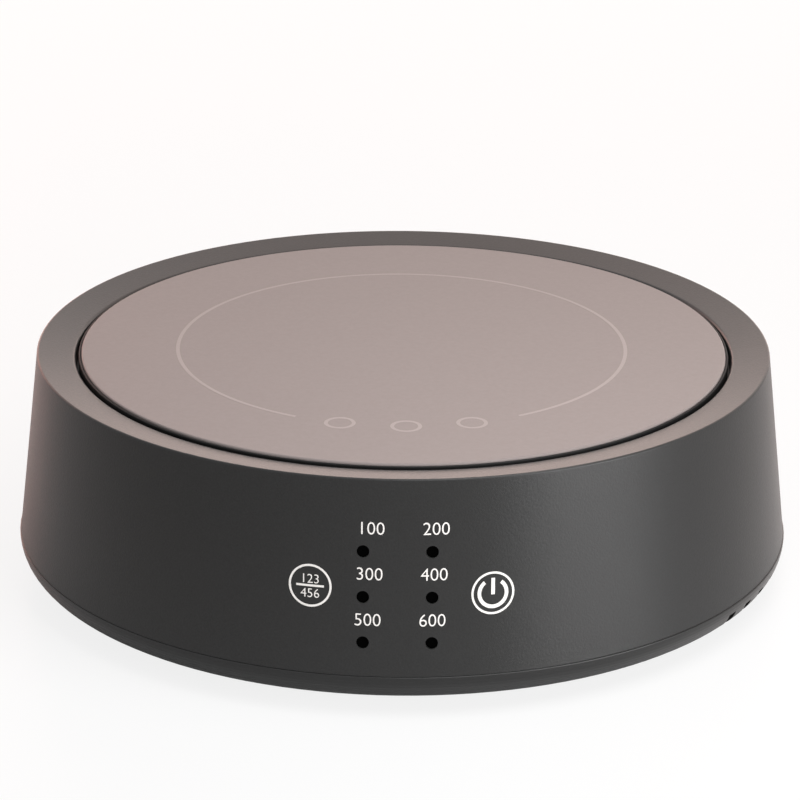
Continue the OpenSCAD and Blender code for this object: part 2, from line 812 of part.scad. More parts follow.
module heat_shield() {
    color(steel) difference() {
        union() {
            translate([0, 0, shield_z]) cylinder(r = shield_r, h = shield_t);
            on_columns() translate([-ear_in, -ear_size.y / 2, shield_z])
                cube([ear_size.x, ear_size.y, shield_t]);
            for (a = tab_angles) rotate(a) translate([0, 0, shield_z]) shield_tab();
            for (a = spring_angles) rotate(a) translate([spring_ring_r, 0, shield_top_z])
                cylinder(d = spring_d - 2 * spring_wire_d - 2 * slip, h = spring_seat_h);
        }
        on_columns() translate([0, 0, shield_z - over])
            cylinder(d = screw_d + 2 * slip, h = shield_t + 2 * over);
    }
}

module pan_spring(i) {
    coil_r = (spring_d - spring_wire_d) / 2;
    color(steel) rotate(spring_angles[i]) translate([spring_ring_r, 0, shield_top_z])
        tube(helix(coil_r, pan_under_z - shield_top_z, spring_wire_d), spring_wire_d, 6);
}

// Power board
module power_board() {
    color(board_green) difference() {
        translate([power_board_x, -power_board_l / 2, board_low_z])
            cube([power_board_w, power_board_l, board_t]);
        at_posts() translate([0, 0, board_low_z - over])
            cylinder(d = board_screw_d + 2 * slip, h = board_t + 2 * over);
    }
}

module board_screws() {
    color(steel) at_posts() translate([0, 0, board_top_z]) mirror([0, 0, 1])
        screw(board_screw_d, board_screw_head[0], board_screw_head[1], board_t + post_h - board_screw_gap);
}

// A screw terminal block with two bores for leads, towards +X
module terminal_block() {
    clamp_d = 4;
    clamp_depth = 2;
    difference() {
        translate([-block_size.x / 2, -block_size.y / 2, 0]) cube([block_size.x, block_size.y, low_part_h]);
        for (y = [-bore_pitch / 2, bore_pitch / 2]) {
            translate([block_size.x / 2 - lead_in, y, lead_z - board_top_z]) rotate([0, 90, 0])
                cylinder(d = lead_bore_d, h = lead_in + over);
            translate([-block_size.x / 4, y, low_part_h - clamp_depth])
                cylinder(d = clamp_d, h = clamp_depth + over);
        }
    }
}

module heater_outlet() {
    color(plastic_black) translate([outlet_at.x, outlet_at.y, board_top_z])
        translate([block_size.x / 2, block_size.y / 2, 0]) terminal_block();
}

module mains_terminal() {
    color(plastic_black) translate([mains_at.x, mains_at.y, board_top_z]) rotate(90) terminal_block();
}

module fuse() {
    at = [power_board_x + 6, power_board_l / 2 - 19];
    d = 5.2;
    length = 20;
    lift = 4;
    cap_l = 4;
    cap_y = length / 2 - cap_l;
    color(ceramic_white) translate([at.x, at.y, board_top_z]) {
        for (y = [-cap_y - cap_l / 2, cap_y - cap_l / 2]) translate([-d / 2, y, 0]) cube([d, cap_l, lift]);
        translate([0, length / 2, lift]) rotate([90, 0, 0]) cylinder(d = d, h = length);
    }
}

module filter_capacitor() {
    size = [18, 8, part_h];
    at = [power_board_far_x - 20, power_board_l / 2 - 20];
    color(case_yellow) translate([at.x, at.y, board_top_z]) cube(size);
}

// A core with two windows, and a winding round its middle leg
module supply_transformer() {
    core = [14, 12, low_part_h];
    window = [3, 6];
    leg = 2;
    window_z = 3;
    bulge = 2;
    inset = 0.4;
    color(copper) translate([12, 12 - power_board_l / 2, board_top_z]) {
        difference() {
            cube(core);
            for (x = [leg, core.x - leg - window.x]) translate([x, -over, window_z])
                cube([window.x, core.y + 2 * over, window.y]);
        }
        translate([leg + 1, -bulge, window_z + inset])
            cube([core.x - 2 * (leg + 1), core.y + 2 * bulge, window.y - 2 * inset]);
    }
}

// A can that lies on the board, with a groove near one end
module smoothing_capacitor() {
    d = 8;
    length = 14;
    groove_at = 1.6;
    groove_w = 0.8;
    groove_depth = 0.3;
    color(sleeve_blue) translate([36, 20 - power_board_l / 2, board_top_z + d / 2]) rotate([90, 0, 0])
        difference() {
            cylinder(d = d, h = length);
            translate([0, 0, groove_at]) difference() {
                cylinder(d = d + over, h = groove_w);
                cylinder(d = d - 2 * groove_depth, h = groove_w);
            }
        }
}

// An extruded sink with a flat land between two combs of fins
module heat_sink() {
    pitch = fin_t + fin_gap;
    side_w = (sink_size.x - sink_land_w) / 2;
    slots = floor(side_w / pitch);
    color(sink_grey) translate([sink_at.x, sink_at.y + sink_size.y, board_top_z]) rotate([90, 0, 0])
        linear_extrude(sink_size.y) difference() {
            square([sink_size.x, low_part_h]);
            translate([side_w, sink_base_t]) square([sink_land_w, part_h]);
            for (i = [0 : slots - 1]) {
                translate([fin_t + i * pitch, sink_base_t]) square([fin_gap, part_h]);
                translate([sink_size.x - fin_t - fin_gap - i * pitch, sink_base_t]) square([fin_gap, part_h]);
            }
        }
}

// A power switch on the sink's land, with its legs bent down to the board
module triac() {
    tab = [10, 16, 1.3];
    body = [10, 9.5, 4.4];
    hole_d = 3.6;
    hole_y = 13;
    leg_w = 0.8;
    leg_t = 0.6;
    leg_pitch = 2.54;
    leg_z = 1.9;
    reach = 4;
    color(plastic_black) translate([sink_at.x + sink_size.x / 2, sink_at.y + 1, board_top_z + sink_base_t]) {
        difference() {
            translate([-tab.x / 2, 0, 0]) cube(tab);
            translate([0, hole_y, -over]) cylinder(d = hole_d, h = tab.z + 2 * over);
        }
        translate([-body.x / 2, 0, 0]) cube(body);
        for (x = [-leg_pitch, 0, leg_pitch]) translate([x - leg_w / 2, -reach, 0]) {
            translate([0, 0, leg_z]) cube([leg_w, reach + leg_t, leg_t]);
            translate([0, 0, -sink_base_t]) cube([leg_w, leg_t, sink_base_t + leg_z + leg_t]);
        }
    }
}

// A shrouded socket with its plug pushed in
module socket(size, plug) {
    wall = 0.9;
    floor_t = 1.5;
    sunk = 0.5;
    difference() {
        translate([-size.x / 2, -size.y / 2, 0]) cube(size);
        translate([-size.x / 2 + wall, -size.y / 2 + wall, floor_t])
            cube([size.x - 2 * wall, size.y - 2 * wall, size.z]);
    }
    translate([-plug.x / 2, -plug.y / 2, floor_t - sunk]) cube([plug.x, plug.y, plug.z - floor_t + sunk]);
}

module fan_socket() {
    color(fibre_white) translate([fan_socket_at.x, fan_socket_at.y, board_top_z])
        socket([6, 7.5, 6.5], fan_plug);
}

module panel_socket() {
    color(fibre_white) translate([harness_x, panel_socket_y, board_top_z]) socket([14, 6, 6], panel_plug);
}

// Touch panel
module control_board() {
    color(board_green) at_panel() difference() {
        translate([-control_w / 2, -control_h / 2, -board_depth - board_t])
            cube([control_w, control_h, board_t]);
        at_panel_holes() translate([0, 0, -board_depth - board_t - over])
            cylinder(d = panel_screw_d + 2 * slip, h = board_t + 2 * over);
    }
}

module panel_screws() {
    color(steel) at_panel() at_panel_holes() translate([0, 0, -board_depth - board_t])
        screw(panel_screw_d, panel_screw_head[0], panel_screw_head[1], board_t + panel_screw_bite);
}

module control_chip() {
    leg = 0.4;
    leg_reach = 1;
    leg_pitch = 1.1;
    first_leg = 0.6;
    color(plastic_black) at_panel() translate([chip_at.x, chip_at.y, -board_depth - board_t - chip_size.z]) {
        cube(chip_size);
        for (i = [0 : 5]) translate([-leg_reach, first_leg + i * leg_pitch, chip_size.z - leg])
            cube([chip_size.x + 2 * leg_reach, leg, leg]);
    }
}

module control_socket() {
    color(fibre_white) at_panel() translate([harness_x, control_socket_y, -board_depth - board_t])
        mirror([0, 0, 1]) socket([12, 6, 5], control_plug);
}

// A plate behind the wall, with a peg in each window
module indicator_lens() {
    w = led_pitch_x + 2 * lens_margin;
    h = 2 * led_pitch_y + 2 * lens_margin;
    peg_low = -lens_plate_front - lens_plate_t / 2;
    color(plastic_black) at_panel() {
        translate([led_mid_x - w / 2, -h / 2, -lens_plate_front - lens_plate_t]) cube([w, h, lens_plate_t]);
        at_leds() translate([0, 0, peg_low]) cylinder(d = lens_peg_d, h = -lens_recess - peg_low);
    }
}

module indicator_led(i) {
    tip = lens_plate_front + lens_plate_t + slip;
    straight = board_depth - tip - led_body_d / 2;
    color(fibre_white) at_panel() at_led(i) translate([0, 0, -board_depth]) {
        cylinder(d = led_flange_d, h = led_flange_t);
        cylinder(d = led_body_d, h = straight);
        translate([0, 0, straight]) sphere(d = led_body_d);
    }
}

// A coil spring that carries the touch from the wall to the board
module touch_spring(x, y) {
    far_x = abs(x) + key_spring_d / 2;
    wall_back = panel_r - sqrt(panel_r ^ 2 - far_x ^ 2) + wall_t + slip;
    coil_r = (key_spring_d - key_wire_d) / 2;
    color(steel) at_panel() translate([x, y, -board_depth])
        tube(helix(coil_r, board_depth - wall_back, key_wire_d), key_wire_d, 6);
}

// Fan
module fan_casing() {
    corner_d = (fan_w - fan_corner) * sqrt(2);
    intersection() {
        translate([-fan_w / 2, -fan_w / 2, floor_z]) cube([fan_w, fan_w, fan_t]);
        rotate(45) translate([-corner_d / 2, -corner_d / 2, floor_z]) cube([corner_d, corner_d, fan_t]);
        union() {
            translate([0, 0, floor_z]) cylinder(d = duct_d + 2 * duct_wall, h = fan_t);
            for (z = [floor_z, fan_top_z - flange_t])
                translate([-fan_w, -fan_w, z]) cube([2 * fan_w, 2 * fan_w, flange_t]);
        }
    }
}

module fan_frame() {
    strut_in = hub_d / 4;
    color(plastic_black) at_fan() difference() {
        union() {
            difference() {
                fan_casing();
                translate([0, 0, floor_z - over]) cylinder(d = duct_d, h = fan_t + 2 * over);
            }
            translate([0, 0, motor_z]) cylinder(d = hub_d, h = motor_plate_t);
            for (a = [0, 120, 240]) rotate(a) translate([strut_in, -strut_w / 2, motor_z + strut_inset])
                cube([duct_d / 2 + over - strut_in, strut_w, motor_plate_t - 2 * strut_inset]);
            translate([0, 0, bearing_low_z]) cylinder(d = bearing_tube_d, h = motor_z - bearing_low_z + over);
        }
        translate([0, 0, bearing_low_z - over]) cylinder(d = bearing_d, h = motor_z + over - bearing_low_z);
        at_fan_holes() translate([0, 0, floor_z - over])
            cylinder(d = fan_screw_d + 2 * snug, h = fan_t + 2 * over);
    }
}

module fan_bearing() {
    low_z = bearing_low_z + 0.4;
    color(copper) at_fan() translate([0, 0, low_z]) difference() {
        cylinder(d = bearing_d - 2 * press, h = motor_z - low_z - 0.6);
        translate([0, 0, -over]) cylinder(d = shaft_d + 2 * running, h = fan_t);
    }
}

// Four poles with wide shoes on a wound sleeve
module fan_stator() {
    low_z = bearing_low_z + 1.2;
    height = motor_z - low_z;
    r = hub_d / 2 - hub_wall - magnet_t - stator_gap;
    core_h = 4;
    core_low = (height - core_h) / 2;
    pole_w = 5;
    shoe_t = 1.6;
    shoe_gap = 3;
    sleeve_t = 1.5;
    color(copper) at_fan() translate([0, 0, low_z]) difference() {
        union() {
            cylinder(d = bearing_tube_d + 2 * sleeve_t, h = height);
            intersection() {
                translate([0, 0, core_low]) cylinder(r = r, h = core_h);
                union() {
                    for (a = [0, 90]) rotate(a) translate([-r, -pole_w / 2, 0]) cube([2 * r, pole_w, height]);
                    difference() {
                        translate([0, 0, core_low]) cylinder(r = r, h = core_h);
                        translate([0, 0, -over]) cylinder(r = r - shoe_t, h = height + 2 * over);
                        for (a = [45, 135]) rotate(a) translate([-r, -shoe_gap / 2, -over])
                            cube([2 * r, shoe_gap, height + 2 * over]);
                    }
                }
            }
        }
        translate([0, 0, -over]) cylinder(d = bearing_tube_d + 2 * press, h = height + 2 * over);
    }
}

module fan_screws() {
    head_h = wall_t / 2 - 0.1;
    color(steel) at_fan() at_fan_holes() translate([0, 0, foot_h + wall_t / 2])
        screw(fan_screw_d, screw_head_d, head_h, wall_t / 2 + fan_screw_bite);
}

// One blade: a plate bent to an arc about a line along its span, cut to the ring that it sweeps
module fan_blade() {
    span = blade_arc_r * (sin(blade_out) - sin(blade_in));
    mid = blade_arc_r * (sin(blade_out) + sin(blade_in)) / 2;
    root_r = hub_d / 2 - hub_wall / 2;
    intersection() {
        translate([0, -mid, blade_low_z + blade_arc_r * cos(blade_in)]) rotate([0, 90, 0]) difference() {
            cylinder(r = blade_arc_r + blade_t / 2, h = blade_tip_r);
            translate([0, 0, -over]) cylinder(r = blade_arc_r - blade_t / 2, h = blade_tip_r + 2 * over);
        }
        translate([0, -span / 2 - blade_t, blade_low_z]) cube([blade_tip_r, span + 2 * blade_t, blade_h]);
        difference() {
            cylinder(r = blade_tip_r, h = fan_top_z);
            translate([0, 0, -over]) cylinder(r = root_r, h = fan_top_z + 2 * over);
        }
    }
}

module fan_rotor() {
    color(plastic_black) at_fan() difference() {
        union() {
            translate([0, 0, rotor_low_z]) difference() {
                cylinder(d = hub_d, h = cup_top_z - rotor_low_z);
                translate([0, 0, hub_wall]) cylinder(d = hub_d - 2 * hub_wall, h = fan_t);
            }
            translate([0, 0, rotor_low_z]) cylinder(d = shaft_boss_d, h = hub_wall + over);
            for (i = [0 : blade_count - 1]) rotate(360 * i / blade_count) fan_blade();
        }
        translate([0, 0, rotor_low_z + hub_wall / 2]) cylinder(d = shaft_d + 2 * press, h = fan_t);
    }
}

module fan_magnet() {
    r = hub_d / 2 - hub_wall - press;
    low_z = rotor_low_z + hub_wall;
    color(ferrite_grey) at_fan() translate([0, 0, low_z]) difference() {
        cylinder(r = r, h = cup_top_z - low_z - blade_end);
        translate([0, 0, -over]) cylinder(r = r - magnet_t, h = fan_t);
    }
}

module fan_shaft() {
    low_z = rotor_low_z + hub_wall / 2;
    end_gap = 0.1;
    color(steel) at_fan() translate([0, 0, low_z]) cylinder(d = shaft_d, h = motor_z - low_z - end_gap);
}

// Leads
module heater_lead_live() {
    color(braid_white) tube(smooth_route(live_route), lead_d);
}

module heater_lead_return() {
    color(braid_white) tube(smooth_route(return_route), lead_d);
}

module limiter_jumper() {
    color(braid_white) tube(jumper_route, lead_d);
}

module fan_lead() {
    color(wire_red) tube(smooth_route(fan_lead_route), fan_lead_d);
}

// A flat cable that sags from the control board to the power board, drawn from the side
module panel_harness() {
    back = board_depth + board_t + control_plug.z + lead_gap;
    inward = [cos(wall_lean), -sin(wall_lean)];
    upward = [sin(wall_lean), cos(wall_lean)];
    start = [-panel_r, panel_z] + back * inward + control_socket_y * upward;
    finish = [panel_socket_y, board_top_z + panel_plug.z + lead_gap];
    bend_in = start + harness_reach * inward;
    bend_down = finish + [0, harness_rise];
    steps = 14;
    line = [for (i = [0 : steps])
        let (t = i / steps, s = 1 - t)
        s ^ 3 * start + 3 * s ^ 2 * t * bend_in + 3 * s * t ^ 2 * bend_down + t ^ 3 * finish];
    half = [for (i = [0 : steps])
        let (d = unit(line[min(i + 1, steps)] - line[max(i - 1, 0)]))
        harness_t / 2 * [-d.y, d.x]];
    over_side = [for (i = [0 : steps]) line[i] + half[i]];
    under_side = [for (i = [steps : -1 : 0]) line[i] - half[i]];
    color(cable_grey) translate([harness_x - harness_w / 2, 0, 0]) rotate([90, 0, 90])
        linear_extrude(harness_w) polygon(concat(over_side, under_side));
}

upper_shell();
base_cover();
glass_top();
glass_seal();
housing_screws();
cord_gland();
for (i = [0 : 3]) foot(foot_angles[i]);
heater_pan();
insulation_disc();
insulation_ring();
heating_ribbon();
limiter_rod();
limiter_head();
heater_terminal();
heat_shield();
for (i = [0 : 2]) pan_spring(i);
power_board();
mains_terminal();
heater_outlet();
fuse();
filter_capacitor();
supply_transformer();
smoothing_capacitor();
heat_sink();
triac();
fan_socket();
panel_socket();
board_screws();
control_board();
control_chip();
control_socket();
indicator_lens();
touch_spring(-key_x, select_y);  // touch_spring_select
touch_spring(key_x, power_y);  // touch_spring_power
panel_screws();
for (i = [0 : 5]) indicator_led(i);
fan_frame();
fan_stator();
fan_bearing();
fan_screws();
fan_rotor();
fan_magnet();
fan_shaft();
heater_lead_live();
heater_lead_return();
limiter_jumper();
fan_lead();
panel_harness();
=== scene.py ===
"""Dresses the round electric tea stove: its finishes, printed marks, studio light and camera.

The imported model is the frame. Its pieces keep their shape and place and get the finishes of the real ones.
The printed marks of the touch panel and of the glass top are added as thin pieces that ride on the housing.
"""

import logging
import math
from dataclasses import dataclass
from enum import Enum

import bmesh
import bpy
import numpy as np
from mathutils import Matrix, Vector


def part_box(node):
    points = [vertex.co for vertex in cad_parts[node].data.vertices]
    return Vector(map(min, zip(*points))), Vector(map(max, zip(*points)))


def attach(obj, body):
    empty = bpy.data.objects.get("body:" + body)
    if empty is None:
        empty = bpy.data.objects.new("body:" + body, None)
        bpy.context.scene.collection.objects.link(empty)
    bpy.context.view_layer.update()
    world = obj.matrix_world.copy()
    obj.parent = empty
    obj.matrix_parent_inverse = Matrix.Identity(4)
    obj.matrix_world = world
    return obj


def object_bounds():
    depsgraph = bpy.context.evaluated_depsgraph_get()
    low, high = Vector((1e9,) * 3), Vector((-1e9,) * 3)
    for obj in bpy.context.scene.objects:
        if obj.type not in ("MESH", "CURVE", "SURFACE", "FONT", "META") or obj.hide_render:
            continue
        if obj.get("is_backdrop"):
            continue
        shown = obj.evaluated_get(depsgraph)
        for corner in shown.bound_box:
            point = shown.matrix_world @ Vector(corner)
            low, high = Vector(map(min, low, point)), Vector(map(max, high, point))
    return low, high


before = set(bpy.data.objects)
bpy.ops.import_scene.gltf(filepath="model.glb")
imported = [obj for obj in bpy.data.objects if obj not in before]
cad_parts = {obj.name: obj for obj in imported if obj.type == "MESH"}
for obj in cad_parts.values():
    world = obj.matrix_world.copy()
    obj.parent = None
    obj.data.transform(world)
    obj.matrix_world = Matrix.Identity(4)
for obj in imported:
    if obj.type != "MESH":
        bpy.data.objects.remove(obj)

MM = 0.001
FULL_TURN = 360
HOUSING = "housing"
LOG = logging.getLogger("tea_stove")

# The background's colour, and the strength at which it is seen as white.
WHITE = "#ffffff"
WHITE_GLOW = 1.0

# The sockets of a colour mix go by number, because their names repeat.
MIX_SHARE = 0
MIX_FIRST = 6
MIX_SECOND = 7
MIX_RESULT = 2

Point = tuple[float, float]
Triple = tuple[float, float, float]
Faces = list[list[int]]
Shape = tuple[np.ndarray, Faces]


class Pattern(Enum):
    """The texture that a finish varies by.

    Each one is the node that draws it, the output that carries it, the node's settings, and the length of one
    repeat when the node's scale is 1.
    """

    GRAIN = ("ShaderNodeTexNoise", "Fac", {}, 1.0)
    CELLS = ("ShaderNodeTexVoronoi", "Distance", {}, 1.0)
    BANDS = ("ShaderNodeTexWave", "Fac", {"bands_direction": "DIAGONAL"}, math.pi / 5)


def linear(shade: str) -> tuple[float, float, float, float]:
    """Turns an sRGB hex colour into linear light.

    Args:
        shade: the colour as #rrggbb.

    Returns:
        Red, green, blue and a full alpha.
    """
    channels = np.array([int(shade[i:i + 2], 16) for i in (1, 3, 5)]) / 255
    light = np.where(channels <= 0.04045, channels / 12.92, ((channels + 0.055) / 1.055) ** 2.4)
    return (*light.tolist(), 1.0)


def add_node(tree: bpy.types.NodeTree, kind: str, inputs: dict | None = None, **settings) -> bpy.types.Node:
    """Adds one shader node with its settings, and fills or links its inputs.

    Args:
        tree: the node tree.
        kind: Blender's name for the kind of node.
        inputs: a value or an output socket for each input, by name or number.
        settings: the node's properties.

    Returns:
        The new node.
    """
    node = tree.nodes.new(kind)
    for name, value in settings.items():
        setattr(node, name, value)
    for name, value in (inputs or {}).items():
        if isinstance(value, bpy.types.NodeSocket):
            tree.links.new(value, node.inputs[name])
        else:
            node.inputs[name].default_value = value
    return node


@dataclass(frozen=True)
class Finish:
    """A material and how its surface was made.

    The colour, the roughness and the relief all follow one pattern, whose size is a real one in millimetres.
    """

    name: str
    shade: str
    second_shade: str
    roughness: float
    pattern: Pattern = Pattern.GRAIN
    size_mm: float = 1.0
    stretch: Triple = (1.0, 1.0, 1.0)
    roughness_spread: float = 0.06
    relief_mm: float = 0.0
    metallic: float = 0.0
    ior: float = 1.5
    specular: float = 0.5

    def material(self) -> bpy.types.Material:
        """Builds the material, or finds it if it is there already.

        Returns:
            The material, which is named for what it is.
        """
        known = bpy.data.materials.get(self.name)
        if known:
            return known
        material = bpy.data.materials.new(self.name)
        material.use_nodes = True
        tree = material.node_tree
        tree.nodes.clear()
        kind, output, settings, repeat = self.pattern.value
        scale = repeat / (self.size_mm * MM)
        place = add_node(tree, "ShaderNodeTexCoord").outputs["Object"]
        turned = add_node(tree, "ShaderNodeMapping", {"Vector": place, "Scale": self.stretch})
        texture = add_node(tree, kind, {"Vector": turned.outputs["Vector"], "Scale": scale}, **settings)
        drawn = texture.outputs[output]
        shades = {MIX_SHARE: drawn, MIX_FIRST: linear(self.shade), MIX_SECOND: linear(self.second_shade)}
        colour = add_node(tree, "ShaderNodeMix", shades, data_type="RGBA")
        spread = {"Value": drawn,
                  "To Min": self.roughness - self.roughness_spread,
                  "To Max": self.roughness + self.roughness_spread}
        rough = add_node(tree, "ShaderNodeMapRange", spread)
        surface = {"Base Color": colour.outputs[MIX_RESULT],
                   "Roughness": rough.outputs["Result"],
                   "Metallic": self.metallic,
                   "IOR": self.ior,
                   "Specular IOR Level": self.specular}
        if self.relief_mm:
            bump = add_node(tree, "ShaderNodeBump", {"Height": drawn, "Distance": self.relief_mm * MM})
            surface["Normal"] = bump.outputs["Normal"]
        shader = add_node(tree, "ShaderNodeBsdfPrincipled", surface)
        add_node(tree, "ShaderNodeOutputMaterial", {"Surface": shader.outputs["BSDF"]})
        return material


# Moulded ABS with a spark-eroded face: near black, dull, with a soft sheen that brightens towards the edges.
# The grit of such a face is about 0.05 mm; it is drawn at 0.5 mm so that it shows.
MATTE_ABS = Finish("ABS, moulded with a spark-eroded face", "#2a2a2a", "#1e1e1e", 0.34, size_mm=0.5,
                   roughness_spread=0.04, relief_mm=0.03, ior=1.53, specular=0.27)

# The same ABS from a plainer mould: smoother, so that its rounded edge shows the table. Its shade, a little
# darker than the shell's, is painted shade of the underside, where it turns under towards the table.
PLAIN_ABS = Finish("ABS, moulded plain", "#222222", "#1c1c1c", 0.3, size_mm=0.6, roughness_spread=0.04,
                   relief_mm=0.004, ior=1.53, specular=0.31)

# Glass ceramic with an etched satin top, which mirrors the room only as a soft glow. Its warm grey is partly
# painted reflection: it stands in for the sheen of the warm, bright room on glass that is darker.
SATIN_GLASS = Finish("glass ceramic, satin etched", "#89807e", "#847b79", 0.46, size_mm=1.2,
                     roughness_spread=0.03, ior=1.52, specular=0.25)

# Silicone rubber, pressed: dull dark grey.
SILICONE = Finish("silicone rubber, pressed", "#161515", "#101010", 0.6, size_mm=2.0, ior=1.41, specular=0.3)

# Rubber, moulded: black and dull, with a faint bloom.
RUBBER = Finish("rubber, moulded", "#1d1d1d", "#282727", 0.7, size_mm=3.0, relief_mm=0.01, ior=1.52)

# Steel with a bright zinc plate: cool grey metal with a slight cloud.
ZINC_STEEL = Finish("steel, zinc plated", "#b9bcc1", "#a4a7ac", 0.34, size_mm=0.8, metallic=1.0)

# Aluminised steel sheet: pale metal with the spangle of a hot dip.
ALUMINISED_SHEET = Finish("steel sheet, hot-dip aluminised", "#c3c5c6", "#a3a6a8", 0.4, Pattern.CELLS, 4.0,
                          metallic=1.0)

# Vacuum-formed ceramic fibre: white and soft, with a felted nap.
CERAMIC_FIBRE = Finish("ceramic fibre, vacuum formed", "#ece8df", "#d5cfc3", 0.92, size_mm=0.7,
                       relief_mm=0.15)

# Iron-chromium-aluminium strip, rolled and oxidised by heat: dark bronze grey.
RESISTANCE_STRIP = Finish("iron-chromium strip, heat oxidised", "#6f665f", "#4d4743", 0.48, size_mm=3.0,
                          metallic=1.0)

# Spring steel, drawn: grey wire with fine drawing lines.
SPRING_WIRE = Finish("spring steel, drawn", "#a7a8aa", "#8a8b8e", 0.3, size_mm=0.5, metallic=1.0)

# Steatite, fired bare: off white and close grained.
STEATITE = Finish("steatite, fired", "#ebe5d8", "#dcd4c4", 0.5, size_mm=0.6, relief_mm=0.01, ior=1.6)

# Glass-epoxy laminate under green solder resist: smooth, with the cloth's weave just showing.
LAMINATE = Finish("glass-epoxy laminate, green resist", "#1d6a41", "#185635", 0.33, Pattern.CELLS, 0.9,
                  ior=1.55)

# Glass-filled polyester, moulded: black with a slight gloss.
BLACK_POLYESTER = Finish("polyester, moulded black", "#1c1c1e", "#151516", 0.45, size_mm=0.6, ior=1.57)

# Smoked acrylic: black to the eye until it is lit from behind.
SMOKED_ACRYLIC = Finish("acrylic, smoked", "#020202", "#010101", 0.3, size_mm=2.0, roughness_spread=0.03,
                        ior=1.49, specular=0.01)

# Diffused epoxy, cast: milky white.
MILKY_EPOXY = Finish("epoxy, cast and diffused", "#eceae2", "#e0ddd3", 0.3, size_mm=1.5, ior=1.54)

# Nylon, moulded natural: creamy white with a soft gloss.
NATURAL_NYLON = Finish("nylon, moulded natural", "#eee9dc", "#e1dbcb", 0.4, size_mm=1.0, ior=1.53)

# Polyester case of a film capacitor, moulded: dull mustard yellow.
CAPACITOR_CASE = Finish("polyester case, moulded yellow", "#c9a53a", "#b89432", 0.42, size_mm=0.8, ior=1.57)

# Shrunk vinyl sleeve: dark blue and glossy.
VINYL_SLEEVE = Finish("vinyl sleeve, shrunk", "#1c2436", "#171d2c", 0.25, size_mm=2.0, ior=1.53)

# Enamelled copper wire, wound: red-brown metal in close turns of 0.4 mm.
COPPER_TURNS = Finish("copper wire, enamelled and wound", "#7d4223", "#b5673b", 0.32, Pattern.BANDS, 0.4,
                      stretch=(0.0, 0.0, 1.0), metallic=1.0)

# Bronze, sintered: brown metal with open pores.
SINTERED_BRONZE = Finish("bronze, sintered", "#a07a48", "#7c5c35", 0.45, Pattern.CELLS, 0.5, metallic=1.0)

# Aluminium, extruded and anodised: dark grey with lines along the extrusion.
ANODISED_ALUMINIUM = Finish("aluminium, extruded and anodised", "#585b60", "#474a4f", 0.38, size_mm=0.5,
                            stretch=(1.0, 0.05, 1.0), metallic=1.0)

# Ferrite, pressed and fired: charcoal and dull.
FERRITE = Finish("ferrite, pressed", "#3d3b3b", "#2f2d2d", 0.6, size_mm=0.5)

# Glass-braid sleeve, silicone varnished: off white with a fine weave.
BRAID_SLEEVE = Finish("glass braid, varnished", "#ddd9cd", "#bfb9aa", 0.55, Pattern.CELLS, 0.7,
                      relief_mm=0.05)

# Vinyl wire sheath, extruded: plain red with a soft gloss.
RED_SHEATH = Finish("vinyl sheath, extruded red", "#b02a22", "#9a231c", 0.38, size_mm=2.0, ior=1.53)

# Flat cable, extruded vinyl: grey with a rib over each core, 1.27 mm apart.
RIBBON_CABLE = Finish("vinyl flat cable, extruded", "#77787b", "#8f9092", 0.45, Pattern.BANDS, 1.27,
                      stretch=(1.0, 0.0, 0.0), relief_mm=0.1, ior=1.53)

# Screen-printed white ink: flat, opaque and slightly warm.
WHITE_INK = Finish("ink, screen printed white", "#f2efec", "#e7e3df", 0.5, size_mm=0.5, ior=1.5)

# Fired enamel print on the glass: a shade paler than the glass and as dull.
PALE_ENAMEL = Finish("enamel, fired pale grey", "#9f9593", "#9a908e", 0.46, size_mm=0.6, ior=1.52,
                     specular=0.25)


def dress(finish: Finish, *nodes: str) -> None:
    """Gives some of the frame's pieces a finish.

    Args:
        finish: the finish.
        nodes: the pieces' names.
    """
    for name in nodes:
        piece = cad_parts[name]
        piece.data.materials.clear()
        piece.data.materials.append(finish.material())
        LOG.info("dressed %s in %s", name, finish.name)


def add_piece(name: str, points: np.ndarray, faces: Faces, finish: Finish) -> None:
    """Makes a new piece at the origin that rides on the housing.

    Args:
        name: the piece's name.
        points: its corners in metres, one row each.
        faces: its faces as rows of corner numbers.
        finish: its finish.
    """
    mesh = bpy.data.meshes.new(name)
    mesh.from_pydata(points.tolist(), [], faces)
    mesh.update()
    mesh.materials.append(finish.material())
    piece = bpy.data.objects.new(name, mesh)
    bpy.context.scene.collection.objects.link(piece)
    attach(piece, HOUSING)
    LOG.info("added %s with %d faces", name, len(faces))


def arc(centre: Point, radius: float, first: float, last: float, steps: int) -> np.ndarray:
    """Works out a flat arc: the centre plus the radius times the cosine and sine of evenly spaced angles.

    Args:
        centre: the arc's centre.
        radius: its radius.
        first: the angle of its first point in degrees.
        last: the angle of its last point in degrees.
        steps: the number of steps between them.

    Returns:
        One row for each point.
    """
    angles = np.radians(np.linspace(first, last, steps + 1))
    return np.asarray(centre) + radius * np.column_stack([np.cos(angles), np.sin(angles)])


